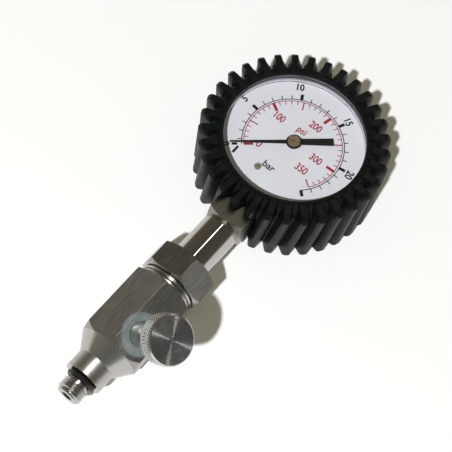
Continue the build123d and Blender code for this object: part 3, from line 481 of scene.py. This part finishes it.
# Bleed knob in its own frame: axis Z, diamond knurl on the rim, faced front
def knob():
    around, rows, face_rings = 300, 26, 12
    knurl_count, knurl_twist, knurl_depth = 50, 3.6, 0.5
    shoulder_r = KNOB_R - 0.35
    rim_r = KNOB_R - 0.75
    face_r = KNOB_R - 0.95
    straight_low, straight_high = KNOB_LOW + 0.6, KNOB_HIGH - 0.7
    vertices, faces = [], []

    def ring(r, z):
        start = len(vertices)
        vertices.extend([(*on_circle(r, 2 * math.pi * k / around), z) for k in range(around)])
        return start

    rings = [ring(KNOB_BORE_R, KNOB_LOW), ring(rim_r, KNOB_LOW), ring(shoulder_r, straight_low)]
    for row in range(rows + 1):
        share = row / rows
        z = straight_low + (straight_high - straight_low) * share
        rings.append(len(vertices))
        for k in range(around):
            turn = k / around
            first = abs(((turn * knurl_count + share * knurl_twist) % 1.0) - 0.5) * 2
            second = abs(((turn * knurl_count - share * knurl_twist) % 1.0) - 0.5) * 2
            r = shoulder_r if row in (0, rows) else KNOB_R - knurl_depth * (1 - min(first, second))
            vertices.append((*on_circle(r, 2 * math.pi * turn), z))
    rings += [ring(shoulder_r, KNOB_HIGH - 0.6), ring(rim_r, KNOB_HIGH - 0.05), ring(face_r, KNOB_HIGH)]
    for step in range(1, face_rings):
        rings.append(ring(face_r * (1 - step / face_rings), KNOB_HIGH))
    for a, b in zip(rings, rings[1:]):
        for k in range(around):
            n = (k + 1) % around
            faces.append((a + k, a + n, b + n, b + k))
    faces.append(tuple(rings[-1] + k for k in range(around)))
    made = mesh_object("bleed_knob_knurled", vertices, faces, faced, "bleed_knob")
    made.data.materials.append(knurled_rim)
    for polygon in made.data.polygons:
        polygon.material_index = 0 if polygon.center.z > (KNOB_HIGH - 0.02) * MM else 1
    return made


knurled = knob()
turn = Matrix.Rotation(BLEED_LEAN, 4, "Y")
move = Matrix.Translation((0, -BLEED_AT * MM, STEM_Z * MM))
knurled.matrix_world = move @ turn
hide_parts("bleed_knob")


# Pieces drawn again from their own solid
def copy_of(node, name, body):
    """Copy of a solid's mesh."""
    made = bpy.data.objects.new(name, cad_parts[node].data.copy())
    bpy.context.scene.collection.objects.link(made)
    if body:
        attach(made, body)
    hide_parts(node)
    return made


def cut_thread(made):
    """Draws the plain port cylinder in to the thread's root and winds the ridge round it."""
    for vertex in made.data.vertices:
        along = -vertex.co.y / MM
        x, z = vertex.co.x, vertex.co.z - STEM_Z * MM
        r = math.hypot(x, z)
        if along > THREAD_START - 0.01 and r > THREAD_ROOT_R * MM:
            vertex.co.x = x * THREAD_ROOT_R * MM / r
            vertex.co.z = z * THREAD_ROOT_R * MM / r + STEM_Z * MM
    shape = bmesh.new()
    shape.from_mesh(made.data)
    steps, fade_steps = 40, 8
    half_root, half_crest = 0.47, 0.07
    foot_r = THREAD_ROOT_R - 0.05
    first_middle = THREAD_START + 0.35
    chamfer_start = THREAD_END - THREAD_CHAMFER
    count = int((THREAD_END - THREAD_START - THREAD_CHAMFER) / THREAD_PITCH * steps)
    last = None
    for k in range(count + 1):
        turn = 2 * math.pi * k / steps
        middle = first_middle + THREAD_PITCH * k / steps
        fade = min(1.0, k / fade_steps, (count - k) / fade_steps)
        limit = THREAD_R - max(0.0, middle + 0.1 - chamfer_start)
        crest = foot_r + (limit - foot_r) * fade
        outline = ((-half_root, foot_r), (-half_crest, crest), (half_crest, crest), (half_root, foot_r))
        row = []
        for shift, r in outline:
            along = min(middle + shift, THREAD_END - 0.02)
            x, z = -r * math.sin(turn), STEM_Z + r * math.cos(turn)
            row.append(shape.verts.new((x * MM, -along * MM, z * MM)))
        if last:
            for a, b, c, d in zip(last, last[1:], row[1:], row):
                shape.faces.new((a, b, c, d))
        last = row
    bmesh.ops.recalc_face_normals(shape, faces=shape.faces[-3 * count:])
    shape.to_mesh(made.data)
    shape.free()


threaded = copy_of("valve_body", "valve_body_threaded", "gauge")
cut_thread(threaded)
bent = copy_of("bourdon_tube", "bourdon_tube_bending", None)
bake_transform(bent)

# Floor, light and camera: lengths in metres, apart from the lens
FLOOR_SIZE = 6
FLOOR_DROP = 0.00002
MIDDLE = Vector((0, -0.03, 0))
SENSOR_MM = 36
LENS_MM = 103.54
CAMERA_AT = (0.0922, -0.2103, 0.4260)
CAMERA_RIGHT = (0.7737, 0.6270, 0.0904)
CAMERA_FORWARD = (-0.2009, 0.3781, -0.9037)


def floor():
    """Pale floor that shows white to the camera and keeps the shadow."""
    made, tree, shader = material("pale_floor")
    shader.inputs["Roughness"].default_value = 0.9
    shader.inputs["Specular IOR Level"].default_value = 0.1
    tint = ramp(tree, noise(tree, 30), (0.90, 0.90, 0.90), (0.92, 0.92, 0.92))
    seen = add(tree, "ShaderNodeLightPath").outputs["Is Camera Ray"]
    tree.links.new(mixed(tree, seen, tint, (1, 1, 1, 1)), shader.inputs["Base Color"])
    shader.inputs["Emission Color"].default_value = (1, 0.92, 0.65, 1)
    tree.links.new(math_node(tree, "MULTIPLY", seen, 0.08), shader.inputs["Emission Strength"])
    bpy.ops.mesh.primitive_plane_add(size=FLOOR_SIZE, location=(0, 0, -FLOOR_DROP))
    plane = bpy.context.object
    plane.name = "floor"
    plane.data.materials.append(made)


def background(tree, colour, strength=1.0):
    node = add(tree, "ShaderNodeBackground")
    feed(tree, colour, node.inputs["Color"])
    node.inputs["Strength"].default_value = strength
    return node.outputs["Background"]


def sky():
    """White to the camera, a soft room in reflections, and a weak warm fill for everything else."""
    world = bpy.data.worlds.new("studio")
    bpy.context.scene.world = world
    world.use_nodes = True
    tree = world.node_tree
    tree.nodes.clear()
    axes = coordinates(tree, "Generated")[1]
    levels = ((0.05, 0.5), (0.14, 0.17), (0.45, 0.13), (0.8, 0.12))
    heights = tones(tree, axes["Z"], (0.0, (0.9, 0.9, 0.9)), (1.0, (0.10, 0.10, 0.085)),
                    [(at, (level, level * 0.97, level * 0.86)) for at, level in levels])
    sideways = spread(tree, axes["X"], 0.0, 1.0, (-0.5, 0.5))
    sides = ramp(tree, sideways, (0.85, 0.77, 0.66), (0.66, 0.68, 0.64), (0.42, 0.62))
    lengthways = spread(tree, axes["Y"], 0.0, 1.0, (-1.0, 1.0))
    front = ramp(tree, lengthways, (1.7, 1.9, 2.1), (1, 1, 1), (0.35, 0.55))
    toned = mixed(tree, 1.0, heights, sides, blend_type="MULTIPLY")
    room = background(tree, mixed(tree, 1.0, toned, front, blend_type="MULTIPLY"))
    fill = background(tree, (1.0, 0.93, 0.70, 1), 0.13)
    white = background(tree, (1, 1, 1, 1))
    path = add(tree, "ShaderNodeLightPath").outputs
    shiny = math_node(tree, "MAXIMUM", path["Is Glossy Ray"], path["Is Transmission Ray"])
    unseen = mixed_shader(tree, shiny, fill, room)
    out = add(tree, "ShaderNodeOutputWorld")
    tree.links.new(mixed_shader(tree, path["Is Camera Ray"], unseen, white), out.inputs["Surface"])


def lamp(name, way, power, colour, size, length=0.0, far=1.0, shine=True, only=()):
    """Area light this way from the middle: for shine or for light alone, on all pieces or on some."""
    data = bpy.data.lights.new(name, "AREA")
    data.shape = "RECTANGLE" if length else "DISK"
    data.size = size
    if length:
        data.size_y = length
    data.energy = power * far * far
    data.color = colour
    made = bpy.data.objects.new(name, data)
    way = Vector(way).normalized()
    made.location = MIDDLE + way * far
    made.rotation_mode = "QUATERNION"
    made.rotation_quaternion = (-way).to_track_quat("-Z", "Y")
    made.visible_glossy = shine
    made.visible_diffuse = not shine
    if only:
        group = bpy.data.collections.new(name)
        for piece in only:
            group.objects.link(piece)
        made.light_linking.receiver_collection = group
    bpy.context.scene.collection.objects.link(made)


def place_camera():
    data = bpy.data.cameras.new("camera")
    data.sensor_width = SENSOR_MM
    data.lens = LENS_MM
    data.clip_start = 0.01
    data.clip_end = 20
    camera = bpy.data.objects.new("camera", data)
    bpy.context.scene.collection.objects.link(camera)
    right = Vector(CAMERA_RIGHT).normalized()
    forward = Vector(CAMERA_FORWARD).normalized()
    up = right.cross(forward).normalized()
    right = forward.cross(up)
    rows = [(right[k], up[k], -forward[k], CAMERA_AT[k]) for k in range(3)]
    camera.matrix_world = Matrix((*rows, (0, 0, 0, 1)))
    bpy.context.scene.camera = camera


floor()
sky()
lamp("key", (3, -17, 25), 9.9, (0.955, 0.97, 1.0), size=0.09, far=2.5, shine=False)
lamp("overhead", (0.056, -0.215, 0.975), 3.2, (1.0, 0.98, 0.95), size=0.03, only=(knurled,))
lamp("strip", (0.056, 0.378, 0.923), 0.6, (1.0, 0.95, 0.82), size=0.045, length=0.5)
lamp("low_strip", (0.056, 0.14, 0.95), 2.2, (1.0, 0.98, 0.97), size=0.12, length=0.2, only=(threaded,))
lamp("left_soft", (-0.887, 0.378, 0.29), 0.14, (1.0, 0.97, 0.93), size=0.5, length=0.5, only=(threaded,))
lamp("back_side", (0.42, 0.76, 0.5), 1.2, (1.0, 0.95, 0.8), size=0.02, only=(knurled,))
place_camera()
bpy.context.scene.view_settings.view_transform = "Standard"
